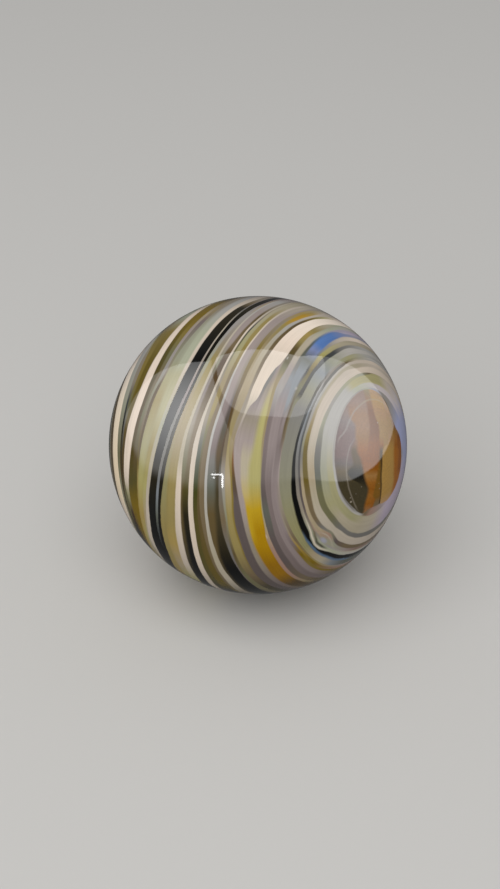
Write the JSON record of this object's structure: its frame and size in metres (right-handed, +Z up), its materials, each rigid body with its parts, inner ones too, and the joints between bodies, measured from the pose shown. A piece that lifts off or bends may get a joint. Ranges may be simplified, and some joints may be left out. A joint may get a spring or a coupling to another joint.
{
  "type": "glass marble",
  "caption": "Solid round glass marble with leaning stripes of cream, olive, mauve, yellow and black glass round an amber eye.",
  "frame": {"origin": "middle of the ball", "axes": "+Z up, -Y towards the front; the eye looks right, to the front and a little up"},
  "size_m": [0.0254, 0.0254, 0.0254],
  "materials": {
    "striped_glass": "fire polished, opaque and clear stripes"
  },
  "bodies": {
    "root": {"marble": "striped_glass"}
  },
  "joints": []
}
